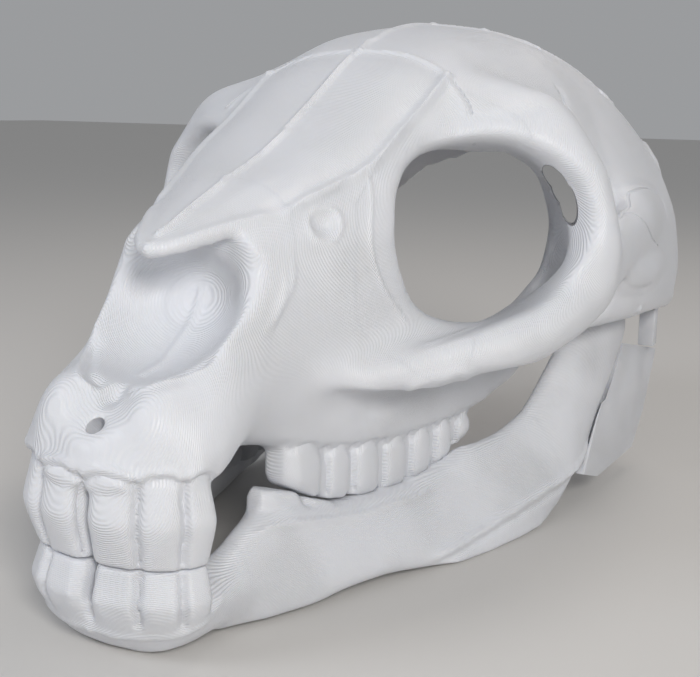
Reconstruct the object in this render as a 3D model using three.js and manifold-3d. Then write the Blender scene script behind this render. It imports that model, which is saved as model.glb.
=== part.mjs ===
// A stylised horse skull with a domed, hollow cranium and a closed lower jaw, as solids in millimetres.
// +Z is up, the snout points along -X, the animal's left side is -Y, and the skull stands on its lower jaw at z = 0.
import * as THREE from "three";
import { LoftGeometry } from "three/addons/geometries/LoftGeometry.js";
import { mergeVertices } from "three/addons/utils/BufferGeometryUtils.js";
import Module from "manifold-3d";

const wasm = await Module();
wasm.setup();

// ---- Driving dimensions ----
const DOME_END = 352; // where the dome would close, behind the plane that cuts it open
const CUT = 0.3; // width of the thin cuts between bones
const FAR = 800; // size of the blocks that cut all the way through
const SIDES = { left: -1, right: 1 };

// Cranium without its arches, along x: height of the roof, of the widest line and of the base, half width,
// and how square the section is above and below the widest line.
const CRANIUM = [
  { x: 31, roof: 120, mid: 99, base: 64, half: 25.5, above: 1.9, below: 3 },
  { x: 45, roof: 126.5, mid: 101, base: 62, half: 30, above: 2, below: 3 },
  { x: 61, roof: 133.5, mid: 103, base: 60, half: 34.5, above: 2.1, below: 3 },
  { x: 75, roof: 139, mid: 104, base: 60, half: 39, above: 2.5, below: 3 },
  { x: 90, roof: 144.5, mid: 104, base: 60, half: 44, above: 3, below: 3 },
  { x: 105, roof: 152, mid: 104, base: 62, half: 48, above: 3.3, below: 3 },
  { x: 120, roof: 160.5, mid: 106, base: 66, half: 52, above: 3.0, below: 3 },
  { x: 135, roof: 170, mid: 108, base: 68, half: 57, above: 2.8, below: 3 },
  { x: 150, roof: 179.5, mid: 108, base: 70, half: 63, above: 2.6, below: 4 },
  { x: 165, roof: 186, mid: 105, base: 71, half: 71, above: 2.4, below: 5 },
  { x: 180, roof: 191, mid: 101, base: 72, half: 80, above: 2.3, below: 6 },
  { x: 200, roof: 195, mid: 98, base: 73, half: 88, above: 2.2, below: 6 },
  { x: 222, roof: 196, mid: 96, base: 73, half: 93, above: 2.1, below: 6 },
  { x: 250, roof: 192, mid: 95, base: 71, half: 94, above: 2.1, below: 6 },
  { x: 280, roof: 181, mid: 95, base: 68, half: 92, above: 2.1, below: 6 },
  { x: 300, roof: 169.5, mid: 94, base: 67, half: 88, above: 2.1, below: 6 },
  { x: 316, roof: 156, mid: 93, base: 67, half: 81, above: 2.1, below: 6 },
  { x: 332, roof: 138, mid: 92, base: 69, half: 67, above: 2.1, below: 5 },
  { x: 344, roof: 117, mid: 92, base: 75, half: 44, above: 2.0, below: 4 },
  { x: DOME_END, roof: 96, mid: 92, base: 88, half: 12, above: 2.0, below: 2 },
];
// The hollow inside it, open below and behind.
const HOLLOW = [
  { x: 100, roof: 132, mid: 108, base: 84, half: 26, above: 2.2, below: 3 },
  { x: 115, roof: 149, mid: 106, base: 76, half: 38, above: 2.2, below: 4 },
  { x: 135, roof: 163, mid: 106, base: 73, half: 47, above: 2.2, below: 4 },
  { x: 155, roof: 175, mid: 105, base: 72, half: 54, above: 2.2, below: 5 },
  { x: 175, roof: 183, mid: 102, base: 71, half: 58, above: 2.4, below: 5 },
  { x: 195, roof: 188.5, mid: 98, base: 50, half: 61, above: 2.4, below: 6 },
  { x: 208, roof: 189.5, mid: 97, base: 44, half: 68, above: 2.3, below: 6 },
  { x: 222, roof: 190, mid: 96, base: 40, half: 82, above: 2.1, below: 6 },
  { x: 250, roof: 186, mid: 95, base: 40, half: 88, above: 2.1, below: 6 },
  { x: 280, roof: 175, mid: 95, base: 40, half: 86, above: 2.1, below: 6 },
  { x: 300, roof: 163, mid: 94, base: 40, half: 82, above: 2.1, below: 6 },
  { x: 316, roof: 149, mid: 93, base: 40, half: 74, above: 2.1, below: 6 },
  { x: 332, roof: 128, mid: 92, base: 40, half: 59, above: 2.1, below: 5 },
  { x: 344, roof: 102, mid: 92, base: 60, half: 30, above: 2.0, below: 4 },
];
// Upper jaw below the face, which carries the cheek teeth.
const UPPER_JAW = [
  { x: 34, roof: 92, mid: 75, base: 57, half: 30, above: 3, below: 3.5 },
  { x: 46, roof: 94, mid: 76, base: 58, half: 30.5, above: 3, below: 4 },
  { x: 60, roof: 95, mid: 74, base: 53, half: 31.5, above: 3, below: 5 },
  { x: 75, roof: 96, mid: 70, base: 48, half: 34, above: 3, below: 5 },
  { x: 95, roof: 92, mid: 66, base: 44, half: 37.5, above: 3, below: 5 },
  { x: 125, roof: 88, mid: 64, base: 41.5, half: 43, above: 3, below: 5 },
  { x: 155, roof: 84, mid: 64, base: 42.5, half: 49, above: 3, below: 5 },
  { x: 178, roof: 80, mid: 63, base: 45, half: 55, above: 3, below: 4 },
  { x: 194, roof: 77, mid: 62, base: 48, half: 59, above: 3, below: 3 },
  { x: 202, roof: 72, mid: 62, base: 53, half: 60, above: 2.5, below: 2.5 },
];
// Front of the snout, above the incisors.
const MUZZLE = [
  { x: -1.5, roof: 59, mid: 56, base: 53, half: 14, above: 2, below: 2.5 },
  { x: 2, roof: 64, mid: 57, base: 51, half: 24, above: 2.2, below: 3 },
  { x: 8, roof: 71, mid: 59, base: 49, half: 31, above: 2.4, below: 3 },
  { x: 16, roof: 80, mid: 62, base: 49, half: 34.5, above: 2.5, below: 3 },
  { x: 27, roof: 90, mid: 66, base: 52, half: 35, above: 2.6, below: 3 },
  { x: 40, roof: 97, mid: 72, base: 58, half: 33.5, above: 2.6, below: 3 },
  { x: 54, roof: 108, mid: 76, base: 57, half: 33.5, above: 2.6, below: 3 },
  { x: 70, roof: 114, mid: 78, base: 56, half: 35, above: 2.6, below: 3 },
];
// The two raised corners of the snout, either side of the notch below the nose.
const SNOUT_CORNER = { centre: [17.5, 16, 62], half: [15, 15, 22.5] };
// Side of the face, which spreads down and out to the crest of the cheek.
const CHEEK = [
  { x: 58, roof: 104, mid: 78, base: 66, half: 32.5, above: 2, below: 2 },
  { x: 84, roof: 108, mid: 76, base: 64, half: 43, above: 1.7, below: 2 },
  { x: 104, roof: 108, mid: 76, base: 63, half: 57, above: 1.6, below: 2 },
  { x: 122, roof: 106, mid: 80, base: 66, half: 71, above: 1.6, below: 2 },
  { x: 138, roof: 104, mid: 84, base: 70, half: 81, above: 1.6, below: 2 },
  { x: 148, roof: 104, mid: 88, base: 74, half: 86, above: 1.6, below: 2 },
];

// Brow and the bar behind each eye, which run down to the cheekbones.
const BROW = [
  { x: 128, roof: 161, mid: 116, base: 84, half: 56, above: 2, below: 4 },
  { x: 140, roof: 169, mid: 116, base: 82, half: 78, above: 2.1, below: 4 },
  { x: 152, roof: 176, mid: 116, base: 80, half: 97, above: 2.2, below: 4 },
  { x: 164, roof: 181, mid: 114, base: 80, half: 104, above: 2.25, below: 5 },
  { x: 174, roof: 181, mid: 112, base: 82, half: 103, above: 2.25, below: 5 },
  { x: 182, roof: 176, mid: 110, base: 84, half: 98, above: 2.2, below: 5 },
];
// Eye socket: a tunnel that faces 50 degrees out from straight ahead and a little up. It widens like a funnel to the
// back and up. Each level is a distance along it and how far it reaches to the front, the back, up and down.
const EYE = {
  centre: [124, 71, 123],
  out: [-0.56, 0.72, 0.28],
  levels: [
    { at: -42, front: 34, back: 36.5, up: 31, down: 30.5 },
    { at: -16, front: 33, back: 38, up: 33, down: 30.5 },
    { at: 0, front: 32.5, back: 42, up: 37, down: 30.5 },
    { at: 16, front: 34, back: 52, up: 46, down: 33 },
  ],
  sides: 18,
};
// Cheekbone and its arch, from the crest on the face to the hinge of the jaw: x, y, z, half height, half thickness.
const ARCH = [
  [66, 33, 76, 4, 2],
  [84, 43, 74, 6, 4],
  [104, 57, 75, 9, 6],
  [121, 71, 79, 10.5, 8],
  [139, 82, 84, 11, 9],
  [157, 90, 92, 11.5, 8],
  [176, 93, 104, 12.5, 7],
  [198, 92, 110, 15, 6],
  [220, 90, 112, 15, 6],
  [244, 88, 109, 14, 6],
  [262, 86, 107, 9, 4],
];
// Fan of bone on the side of the dome above the jaw hinge, and the knob under it.
const FAN = { centre: [236, 85, 114], half: [44, 8, 20], turn: -8 };
const HINGE_KNOB = { centre: [241, 86, 101], half: [17, 8.5, 10] };
const FOSSA = { centre: [196, 99, 130], half: [24, 25, 24] };
const FOSSA_PASSAGE = { centre: [184, 80, 106], half: [24, 13.5, 34] };
// The inner side of each eye socket, open to the hollow of the head.
const SOCKET_DEPTH = { centre: [156, 58, 118], half: [44, 22, 31] };
const REAR_CUT = { foot: [303, 0, 67], lean: 15 };

// The nose: a scoop under the nasal bones, and the shallower notch at its sides.
const NOSE_SCOOP = { centre: [33, 0, 99], half: [30, 27, 17.5], turn: 27 };
const NOSE_NOTCH = { centre: [27, 0, 112], half: [28, 60, 21], turn: 24 };
const NASAL = {
  outline: [
    [31, 0],
    [32, 4.5],
    [37, 9.5],
    [46, 15],
    [57, 21.5],
    [66, 26.5],
    [85, 33],
    [101, 36],
    [140, 38],
    [150, 38],
    [150, 0],
  ],
  thick: 4.5,
  low: 80,
  high: 220,
};
const CHEEK_HOLE = { at: [74, 37, 125.5], out: [-0.25, 1, 0.1], r: 4.6, depth: 6 };
const LIP_HOLE = { at: [8, 0, 68], out: [-1, 0, 0.75], r: 3.2, depth: 12 };
const SCREW = { at: [297, 84.5, 81], out: [0.35, 1, 0], r: 2.2, hole: 2.6, length: 6, sunk: 1 };

// Sutures, where bones part. Planes have a point and the degrees that their top leans back; the outlines of bones
// on the side of the head are in side view, between two distances from the middle.
const PREMAXILLA_END = { at: [31, 0, 50], lean: 25 };
const FACE_END = { at: [150, 0, 120], lean: 0 };
const PALATE_BACK = { x: 212, half: 70.6, z: 84 };
// Openings below the hollow, as blocks: under the dome, and between the palate and the dome.
const DOME_OPENING = { from: 203, to: FAR, half: 80, low: 20, high: 76 };
const THROAT_OPENING = { from: 149, to: 203, half: 58, low: 84, high: 98 };
const LACRIMAL = {
  outline: [
    [83, 112],
    [84, 94],
    [98, 74],
    [120, 74],
    [150, 100],
    [150, 190],
    [104, 160],
    [91, 140],
  ],
  inner: 38.2,
  outer: 110,
};
const ZYGOMATIC = {
  outline: [
    [98, 60],
    [258, 70],
    [262, 92],
    [229, 128],
    [190, 122],
    [146, 121],
    [128, 104],
    [113, 84],
  ],
  inner: 70,
  outer: 120,
};
const TEMPORAL = {
  outline: [
    [226, 88],
    [272, 84],
    [286, 100],
    [286, 132],
    [250, 142],
    [200, 142],
    [184, 119],
  ],
  inner: 80,
  outer: 120,
};
const FRONTAL_END = { at: [208, 0, 130], lean: 0 };
const JAW_FRONT_END = { at: [40, 0, 10], lean: 8 };
const RAMUS_START = { at: [195, 0, 25], lean: -10 };
const MIDDLE_X = 161.2; // middle of the length, over which the origin sits

// Upper and lower incisors, three a side on an oval arch.
const INCISOR_ARCH = { centre: 21, x: 22.5, y: 33.5, power: 2.3 };
const INCISOR_ENDS = [0, 30, 61, 87]; // degrees round the arch
const INCISOR_FILL = 0.97; // share of its place on the arch that each incisor fills
const UPPER_INCISOR = { gum: 58, edge: 29.6, thick: 11 };
const LOWER_ARCH = 0.97; // size of the lower arch beside the upper one
const LOWER_INCISOR = { gum: 10, edge: 28.9, thick: 10 };

// Cheek teeth, seven a side: where each ends along x, the depth of the upper ones, and the line of their outer face.
const CHEEK_TEETH = [64, 84, 99, 115.5, 131, 145, 157.5, 168];
const UPPER_EDGE = [
  [64, 41],
  [84, 31],
  [110, 26.5],
  [132, 25.8],
  [150, 28.5],
  [168, 38],
];
const ROW = [
  [50, 27],
  [64, 29.5],
  [100, 34],
  [140, 41],
  [168, 47],
  [210, 58],
];
const UPPER_ROOT = 56;
const TOOTH = { thick: 13, lowerThick: 10, lowerInset: 4, lowerShift: 9, lowerRoot: 17, gap: 0.6 };
const TOOTH_DETAIL = { corners: 8, power: 3.6 };

// Lower jaw, each side: x, outer face at the lower and at the upper border, height of both borders, thickness.
const JAW = [
  [32, 27, 25, 1.5, 20, 13],
  [44, 34, 28, 1, 30, 14],
  [56, 40, 30, 1.5, 36, 15],
  [66, 44.5, 32, 1.5, 34, 16],
  [88, 51.5, 37, 3, 28, 17],
  [110, 60, 42, 2, 27, 17],
  [129, 67, 45, -0.6, 27, 16],
  [148, 71.5, 50, -1, 30, 15],
  [164, 75, 56, -0.5, 36, 14],
  [180, 78, 60, 1, 38, 12.5],
  [196, 79, 64, 5, 46, 11.5],
  [209, 79, 69, 11.5, 66, 11],
  [221, 78.5, 73, 21, 82, 11],
  [235, 79.5, 78, 38, 91, 11.5],
  [248, 80.5, 81, 55, 87, 11.5],
  [257, 80, 80, 65, 78, 9],
];
const JAW_DETAIL = { steps: 14, corners: 12, power: 3.2 };
const CHIN = [
  { x: 2, roof: 16, mid: 11, base: 6, half: 13, above: 2, below: 2 },
  { x: 5, roof: 18, mid: 10, base: 2.2, half: 22, above: 2.4, below: 2.2 },
  { x: 12, roof: 19, mid: 11, base: -0.8, half: 28, above: 2.6, below: 2.2 },
  { x: 22, roof: 20, mid: 12, base: -0.8, half: 31, above: 2.8, below: 2.3 },
  { x: 34, roof: 21, mid: 13, base: 1, half: 31.5, above: 3, below: 2.4 },
  { x: 48, roof: 23, mid: 14, base: 3, half: 33, above: 3, below: 2.5 },
];
const THROAT = { centre: [58, 0, 14], half: [30, 19, 22] };

// Plate behind each jaw angle, in side view, and the post that joins it to the dome's rim.
const PLATE = {
  outline: [
    [211, 14],
    [229, 8.5],
    [277, 10],
    [291, 24],
    [302, 43],
    [306, 51],
    [254, 62],
    [236, 50],
    [224, 34],
  ],
  y: 76.5,
  thick: 3.6,
};
const POST = { x: 288, y: 79, size: [5, 7], foot: 55.7, top: 84 };

// ---- Shape helpers ----
const solidOf = (geometry) => {
  const bare = new THREE.BufferGeometry().setAttribute("position", geometry.getAttribute("position"));
  if (geometry.index) bare.setIndex(geometry.index);
  const merged = mergeVertices(bare, 1e-3);
  return new wasm.Manifold(
    new wasm.Mesh({
      numProp: 3,
      vertProperties: merged.attributes.position.array,
      triVerts: new Uint32Array(merged.index.array),
    }),
  );
};
const join = (solids) => solids.reduce((all, next) => all.add(next));

// A loft through rings of points, which turns the rings round if they run the wrong way for outward faces.
const loft = (rings) => {
  const middle = (ring) => ring.reduce((sum, p) => sum.add(p), new THREE.Vector3()).divideScalar(ring.length);
  const [a, b] = [middle(rings[0]), middle(rings[1])];
  const turn = new THREE.Vector3();
  rings[1].forEach((p, i) => {
    const q = rings[1][(i + 1) % rings[1].length];
    turn.add(new THREE.Vector3().crossVectors(p.clone().sub(b), q.clone().sub(b)));
  });
  const sections = turn.dot(b.sub(a)) < 0 ? rings.map((ring) => ring.toReversed()) : rings;
  return solidOf(new LoftGeometry(sections, { capStart: true, capEnd: true }));
};

// Cosine or sine of a superellipse: power 2 is round, and higher powers are squarer.
const squared = (value, power) => Math.sign(value) * Math.abs(value) ** (2 / power);

// Value of a column at x, on a smooth curve through the stations.
const between = (stations, x, key) => {
  const at = (i) => stations[Math.min(Math.max(i, 0), stations.length - 1)];
  let i = 0;
  while (i < stations.length - 2 && at(i + 1)[0] < x) i++;
  const [a, b, c, d] = [at(i - 1), at(i), at(i + 1), at(i + 2)];
  const t = THREE.MathUtils.clamp((x - b[0]) / (c[0] - b[0]), 0, 1);
  const slope = (p, q) => (q[0] === p[0] ? 0 : ((q[key] - p[key]) / (q[0] - p[0])) * (c[0] - b[0]));
  const [m0, m1] = [slope(a, c), slope(b, d)];
  const t2 = t * t;
  const t3 = t2 * t;
  const ends = (2 * t3 - 3 * t2 + 1) * b[key] + (3 * t2 - 2 * t3) * c[key];
  return ends + (t3 - 2 * t2 + t) * m0 + (t3 - t2) * m1;
};

// A body along x whose sections are superellipses, from a table of stations.
const STATION_KEYS = ["x", "roof", "mid", "base", "half", "above", "below"];
const bodyAlongX = (table, step, sides) => {
  const rows = table.map((s) => STATION_KEYS.map((k) => s[k]));
  const [first, last] = [rows[0][0], rows.at(-1)[0]];
  const count = Math.max(2, Math.round((last - first) / step));
  const sections = [];
  for (let i = 0; i <= count; i++) {
    const x = THREE.MathUtils.lerp(first, last, i / count);
    const [roof, mid, base, half, above, below] = [1, 2, 3, 4, 5, 6].map((k) => between(rows, x, k));
    const ring = [];
    for (let j = 0; j < sides; j++) {
      const angle = (j / sides) * 2 * Math.PI;
      const high = Math.sin(angle) > 0;
      const power = high ? above : below;
      const y = half * squared(Math.cos(angle), power);
      const z = mid + (high ? roof - mid : mid - base) * squared(Math.sin(angle), power);
      ring.push(new THREE.Vector3(x, y, z));
    }
    sections.push(ring);
  }
  return loft(sections);
};

// A body along any path, with oval sections upright across it.
const ovalAlong = (path, side, sides, steps) => {
  const curve = new THREE.CatmullRomCurve3(path.map(([x, y, z]) => new THREE.Vector3(x, y * side, z)));
  const sizes = new THREE.CatmullRomCurve3(path.map(([, , , h, t]) => new THREE.Vector3(h, t, 0)));
  const up = new THREE.Vector3(0, 0, 1);
  const sections = [];
  for (let i = 0; i <= steps; i++) {
    const u = i / steps;
    const along = curve.getTangent(u);
    const across = new THREE.Vector3().crossVectors(up, along).normalize();
    const rise = new THREE.Vector3().crossVectors(along, across);
    const { x: high, y: thick } = sizes.getPoint(u);
    const ring = [];
    for (let j = 0; j < sides; j++) {
      const angle = (j / sides) * 2 * Math.PI;
      ring.push(
        curve
          .getPoint(u)
          .addScaledVector(across, thick * Math.cos(angle))
          .addScaledVector(rise, high * Math.sin(angle)),
      );
    }
    sections.push(ring);
  }
  return loft(sections);
};

const ellipsoid = ({ centre: [x, y, z], half, turn = 0 }, side = 1, detail = 20) => {
  const ball = new THREE.SphereGeometry(1, detail, Math.round(detail * 0.6));
  ball.scale(...half);
  ball.rotateY(THREE.MathUtils.degToRad(-turn));
  return solidOf(ball.translate(x, y * side, z));
};

// A straight hole or pin, slightly tapered, that starts inside and leaves along "out".
const ROD = { taper: 0.9, sides: 10 };
const rod = ([x, y, z], [ox, oy, oz], r, depth, side, proud = 8) => {
  const out = new THREE.Vector3(ox, oy * side, oz).normalize();
  const bar = new THREE.CylinderGeometry(r, r * ROD.taper, depth + proud, ROD.sides);
  bar.applyQuaternion(new THREE.Quaternion().setFromUnitVectors(new THREE.Vector3(0, 1, 0), out));
  const middle = new THREE.Vector3(x, y * side, z).addScaledVector(out, (proud - depth) / 2);
  return solidOf(bar.translate(middle.x, middle.y, middle.z));
};

const block = (x0, x1, y0, y1, z0, z1) =>
  solidOf(
    new THREE.BoxGeometry(x1 - x0, y1 - y0, z1 - z0).translate((x0 + x1) / 2, (y0 + y1) / 2, (z0 + z1) / 2),
  );

// ---- Eye sockets ----
// Frame of one socket: its first axis runs back along the rim, the second up, and the third out on the left side
// and in on the right one, so that both frames are right-handed.
const eyeFrame = (side) => {
  const [x, y, z] = EYE.centre;
  const out = new THREE.Vector3(EYE.out[0], EYE.out[1] * side, EYE.out[2]).normalize();
  const third = out.multiplyScalar(-side);
  const back = new THREE.Vector3().crossVectors(new THREE.Vector3(0, 0, 1), third).normalize();
  const up = new THREE.Vector3().crossVectors(third, back);
  return new THREE.Matrix4().makeBasis(back, up, third).setPosition(x, y * side, z);
};
const eyeTunnel = (side) => {
  const frame = eyeFrame(side);
  const sections = EYE.levels.map(({ at, front, back, up, down }) => {
    const ring = [];
    for (let j = 0; j < EYE.sides; j++) {
      const angle = (j / EYE.sides) * 2 * Math.PI;
      const [x, y] = [Math.cos(angle), Math.sin(angle)];
      const point = new THREE.Vector3(x * (x > 0 ? back : front), y * (y > 0 ? up : down), -at * side);
      ring.push(point.applyMatrix4(frame));
    }
    return ring;
  });
  return loft(sections);
};

// ---- Teeth ----
// A bar with rounded corners: its middle, its half vectors along and across, and its levels, each a height (a number
// or a rule of x), the share of its length and of its thickness, and a push across.
const roundedBar = ({ middle, along, across }, levels) =>
  loft(
    levels.map(([height, wide, deep, push]) => {
      const ring = [];
      for (let j = 0; j < TOOTH_DETAIL.corners; j++) {
        const angle = ((j + 0.5) / TOOTH_DETAIL.corners) * 2 * Math.PI;
        const p = middle.clone();
        p.addScaledVector(along, wide * squared(Math.cos(angle), TOOTH_DETAIL.power));
        p.addScaledVector(across, deep * squared(Math.sin(angle), TOOTH_DETAIL.power) + push / across.length());
        ring.push(new THREE.Vector3(p.x, p.y, typeof height === "number" ? height : height(p.x)));
      }
      return ring;
    }),
  );
const incisor = (side, k, { gum, edge, thick }, shrink) => {
  const [a, b] = [INCISOR_ENDS[k], INCISOR_ENDS[k + 1]].map(THREE.MathUtils.degToRad);
  const on = (t) =>
    new THREE.Vector3(
      INCISOR_ARCH.centre - INCISOR_ARCH.x * shrink * Math.cos(t) ** (2 / INCISOR_ARCH.power),
      side * INCISOR_ARCH.y * shrink * Math.sin(t) ** (2 / INCISOR_ARCH.power),
      0,
    );
  const [from, to] = [on(a), on(b)];
  const along = to.clone().sub(from).multiplyScalar(0.5 * INCISOR_FILL);
  const across = new THREE.Vector3(-along.y, along.x, 0).normalize();
  if (across.x > 0) across.negate();
  const face = on((a + b) / 2);
  const middle = face.clone().addScaledVector(across, -thick / 2);
  across.multiplyScalar(thick / 2);
  const z = (share) => THREE.MathUtils.lerp(gum, edge, share);
  const levels = [
    [z(0), 0.9, 0.92, -1],
    [z(0.5), 1, 1, 1.2],
    [z(1), 0.97, 0.82, -1.2],
  ];
  return roundedBar({ middle, along, across }, levels);
};
const cheekTooth = (side, k, upper, grow = 0) => {
  const shift = upper ? 0 : -TOOTH.lowerShift;
  const thick = upper ? TOOTH.thick : TOOTH.lowerThick;
  const row = (x) => (upper ? between(ROW, x, 1) : between(JAW, x, 2) - TOOTH.lowerInset);
  const face = (x) => new THREE.Vector3(x, side * row(x), 0);
  const [from, to] = [face(CHEEK_TEETH[k] + shift), face(CHEEK_TEETH[k + 1] + shift)];
  const along = to.clone().sub(from).multiplyScalar(0.5);
  along.setLength(along.length() - TOOTH.gap / 2 + grow);
  const across = new THREE.Vector3(0, side * (thick / 2 + grow), 0);
  const middle = from.add(to).multiplyScalar(0.5);
  middle.y -= side * (thick / 2);
  const bite = (x) => between(UPPER_EDGE, x, 1) - grow;
  const levels = upper
    ? [
        [bite, 0.9, 0.82, 0],
        [(x) => bite(x) + 3, 1, 1, 0],
        [UPPER_ROOT, 0.96, 0.96, 0],
      ]
    : [
        [TOOTH.lowerRoot, 0.96, 0.96, 0],
        [(x) => bite(x) - 4, 1, 1, 0],
        [(x) => bite(x) - 1, 0.9, 0.82, 0],
      ];
  return roundedBar({ middle, along, across }, levels);
};

// ---- Whole bones, before they are parted ----
const bothSides = (make) => Object.values(SIDES).map(make);
const cutAll = (solid, cutters) => cutters.reduce((left, cutter) => left.subtract(cutter), solid);

// A very large block behind a plane through a point, whose top leans back by some degrees.
const behind = ([x, y, z], lean, gap = 0) => {
  const slab = new THREE.BoxGeometry(FAR, FAR, FAR).translate(FAR / 2 + gap, 0, 0);
  slab.rotateY(THREE.MathUtils.degToRad(lean));
  return solidOf(slab.translate(x, y, z));
};
// Cuts a solid in two by a plane that leaves a thin gap: the part in front of it, then the part behind.
const split = (solid, point, lean) => [
  solid.subtract(behind(point, lean, -CUT / 2)),
  solid.intersect(behind(point, lean, CUT / 2)),
];
// Cuts a solid in two down the middle: the left part, then the right.
const halve = (solid) => [
  solid.intersect(block(-FAR, FAR, -FAR, -CUT / 2, -FAR, FAR)),
  solid.intersect(block(-FAR, FAR, CUT / 2, FAR, -FAR, FAR)),
];
// An outline in side view, moved outwards by a distance, then a prism of it between two distances from the middle.
const widened = (outline, distance) =>
  outline.map((point, i) => {
    const [before, at, after] = [-1, 0, 1].map(
      (k) => new THREE.Vector2(...outline[(i + k + outline.length) % outline.length]),
    );
    const normal = (from, to) => new THREE.Vector2(to.y - from.y, from.x - to.x).normalize();
    const [first, second] = [normal(before, at), normal(at, after)];
    const corner = first.clone().add(second).normalize();
    return at.addScaledVector(corner, distance / Math.max(0.35, corner.dot(first))).toArray();
  });
const prism = (outline, side, inner, outer, grow = 0) => {
  const shape = new THREE.Shape(widened(outline, grow).map(([x, z]) => new THREE.Vector2(x, z)));
  const solid = new THREE.ExtrudeGeometry(shape, { depth: outer - inner + 2 * grow, bevelEnabled: false });
  solid.rotateX(Math.PI / 2);
  const y = side > 0 ? outer + grow : -inner + grow;
  return solidOf(solid.translate(0, y, 0));
};
// Takes a bone out of a solid: what is left, then the bone, with a thin gap all round it.
const takeOut = (solid, { outline, inner, outer }, side) => [
  solid.subtract(prism(outline, side, inner, outer, CUT)),
  solid.intersect(prism(outline, side, inner, outer)),
];
const HULL_DETAIL = [19, 24]; // distance between sections, and points round each
const hull = bodyAlongX(CRANIUM, ...HULL_DETAIL);
const arches = bothSides((s) => ovalAlong(ARCH, s, 7, 10));
const outer = join([
  hull,
  bodyAlongX(UPPER_JAW, 24, 12),
  bodyAlongX(MUZZLE, 12, 14),
  ...bothSides((s) => ellipsoid(SNOUT_CORNER, s, 12)),
  bodyAlongX(BROW, 18, 16),
  bodyAlongX(CHEEK, 22, 10),
  ...arches,
  ...bothSides((s) => ellipsoid(FAN, s, 10)),
  ...bothSides((s) => ellipsoid(HINGE_KNOB, s, 8)),
]);
const hollowed = cutAll(outer, [
  bodyAlongX(HOLLOW, 24, 16),
  ...[DOME_OPENING, THROAT_OPENING].map((o) => block(o.from, o.to, -o.half, o.half, o.low, o.high)),
  ...bothSides((s) => ellipsoid(FOSSA, s, 10)),
  ...bothSides((s) => ellipsoid(FOSSA_PASSAGE, s, 8)),
  ...bothSides((s) => ellipsoid(SOCKET_DEPTH, s, 10)),
]);
const cranium = cutAll(join([hollowed, ...arches]), [
  ...bothSides(eyeTunnel),
  ...bothSides((s) => rod(CHEEK_HOLE.at, CHEEK_HOLE.out, CHEEK_HOLE.r, CHEEK_HOLE.depth, s)),
  rod(LIP_HOLE.at, LIP_HOLE.out, LIP_HOLE.r, LIP_HOLE.depth, 1),
  behind(REAR_CUT.foot, REAR_CUT.lean),
]);

// ---- Nasal bones over the scoop of the nose ----
const nasalPrism = (grow) => {
  const half = NASAL.outline.map(([x, y]) => [x, y && y + grow]);
  const outline = [...half, ...half.slice(1, -1).reverse().map(([x, y]) => [x, -y])];
  const shape = new THREE.Shape(outline.map(([x, y]) => new THREE.Vector2(x, y)));
  const post = new THREE.ExtrudeGeometry(shape, { depth: NASAL.high - NASAL.low, bevelEnabled: false });
  return solidOf(post.translate(0, 0, NASAL.low));
};
const hullUnder = (depth) => {
  const lowered = CRANIUM.map((s) => ({ ...s, roof: s.roof - depth }));
  return bodyAlongX(lowered, ...HULL_DETAIL);
};
const nasalBones = hull.subtract(hullUnder(NASAL.thick)).intersect(nasalPrism(0));
const nasalSpace = nasalPrism(CUT).subtract(hullUnder(NASAL.thick + 3 * CUT));

const object = new THREE.Group();
const WHITE = { color: 0xe9eaec, roughness: 0.45, metalness: 0 };
const STEEL = { color: 0x6d6f73, roughness: 0.35, metalness: 0 };
const add = (name, solid, look = WHITE) => {
  const { numProp, vertProperties, triVerts, numVert } = solid.getMesh();
  const position = new Float32Array(numVert * 3);
  for (let i = 0; i < numVert; i++) {
    position.set(vertProperties.subarray(i * numProp, i * numProp + 3), i * 3);
  }
  const geometry = new THREE.BufferGeometry();
  geometry.setAttribute("position", new THREE.BufferAttribute(position, 3));
  geometry.setIndex(new THREE.BufferAttribute(triVerts, 1));
  const mesh = new THREE.Mesh(geometry, new THREE.MeshStandardMaterial(look));
  mesh.name = name;
  object.add(mesh);
};
const incisors = (shape, shrink) => [0, 1, 2].flatMap((k) => bothSides((s) => incisor(s, k, shape, shrink)));
const cheekRow = (side, upper, grow) => CHEEK_TEETH.slice(1).map((_, k) => cheekTooth(side, k, upper, grow));

// ---- Lower jaw ----
const jawSide = (side, grow) => {
  const [first, last] = [JAW[0][0] - grow, JAW.at(-1)[0] + grow];
  const { steps, corners, power } = JAW_DETAIL;
  const rings = [];
  for (let i = 0; i <= steps; i++) {
    const x = THREE.MathUtils.lerp(first, last, i / steps);
    const [outerLow, outerHigh, low, high, thick] = [1, 2, 3, 4, 5].map((k) => between(JAW, x, k));
    const ring = [];
    for (let j = 0; j < corners; j++) {
      const angle = (j / corners) * 2 * Math.PI;
      const across = squared(Math.cos(angle), power);
      const rise = squared(Math.sin(angle), power);
      const face = THREE.MathUtils.lerp(outerLow, outerHigh, (rise + 1) / 2);
      const y = face - thick / 2 + (thick / 2 + grow) * across;
      ring.push(new THREE.Vector3(x, side * y, (high + low) / 2 + ((high - low) / 2 + grow) * rise));
    }
    rings.push(ring);
  }
  return loft(rings);
};
const floorCut = block(-FAR, FAR, -FAR, FAR, -FAR, 0);
const jawBody = cutAll(join([bodyAlongX(CHIN, 9, 16), ...bothSides((s) => jawSide(s, 0))]), [
  ellipsoid(THROAT, 1, 10),
  floorCut,
  ...bothSides((s) => join(cheekRow(s, true, CUT))),
]);
const plates = bothSides((side) => {
  const shape = new THREE.Shape(PLATE.outline.map(([x, z]) => new THREE.Vector2(x, z)));
  const plate = new THREE.ExtrudeGeometry(shape, { depth: PLATE.thick, bevelEnabled: false });
  plate.rotateX(Math.PI / 2);
  plate.translate(0, side * PLATE.y + PLATE.thick / 2, 0);
  return solidOf(plate).subtract(jawSide(side, CUT));
});
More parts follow.
